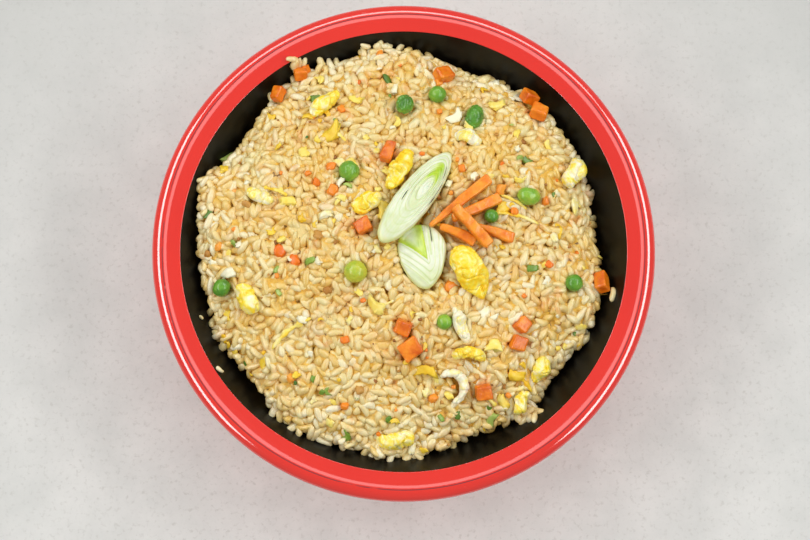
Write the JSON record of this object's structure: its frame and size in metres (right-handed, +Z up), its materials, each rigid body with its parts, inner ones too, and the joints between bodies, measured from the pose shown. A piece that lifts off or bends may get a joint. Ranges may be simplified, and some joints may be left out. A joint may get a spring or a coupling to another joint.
{
  "type": "bowl of fried rice",
  "caption": "Round lacquered bowl heaped with fried rice, topped with sliced leek, carrot strips and dice, green peas and flakes of egg.",
  "frame": {"origin": "on the ground under the middle of the bowl's foot", "axes": "+Z up out of the bowl, +X to the right and +Y away from the viewer with the leek slices in the middle"},
  "size_m": [0.21, 0.21, 0.0893],
  "materials": {
    "lacquer": "glossy red lacquer outside and on the lip, black inside, scuffed along the crest",
    "rice": "moist cooked grains, pale gold from oil and soy",
    "leek": "moist, layered, pale green to white",
    "carrot": "moist, bright orange, faint fibres",
    "pea": "smooth, slightly wrinkled, glossy",
    "egg": "set egg, yellow running into white"
  },
  "bodies": {
    "root": {"bowl": "lacquer", "rice_heap": "rice", "leek_slice_long": "leek", "leek_slice_short": "leek", "carrot_stick_1": "carrot", "carrot_stick_2": "carrot", "carrot_stick_3": "carrot", "carrot_stick_4": "carrot", "carrot_stick_5": "carrot", "pea_1": "pea", "pea_2": "pea", "pea_3": "pea", "pea_4": "pea", "pea_5": "pea", "pea_6": "pea", "pea_7": "pea", "pea_8": "pea", "pea_9": "pea", "pea_10": "pea", "egg_1": "egg", "egg_2": "egg", "egg_3": "egg", "egg_4": "egg", "egg_5": "egg", "egg_6": "egg", "egg_7": "egg", "egg_8": "egg", "egg_9": "egg", "egg_10": "egg", "egg_11": "egg", "egg_12": "egg", "egg_13": "egg", "egg_14": "egg", "carrot_die_1": "carrot", "carrot_die_2": "carrot", "carrot_die_3": "carrot", "carrot_die_4": "carrot", "carrot_die_5": "carrot", "carrot_die_6": "carrot", "carrot_die_7": "carrot", "carrot_die_8": "carrot", "carrot_die_9": "carrot", "carrot_die_10": "carrot", "carrot_die_11": "carrot", "carrot_die_12": "carrot", "carrot_die_13": "carrot"}
  },
  "joints": []
}
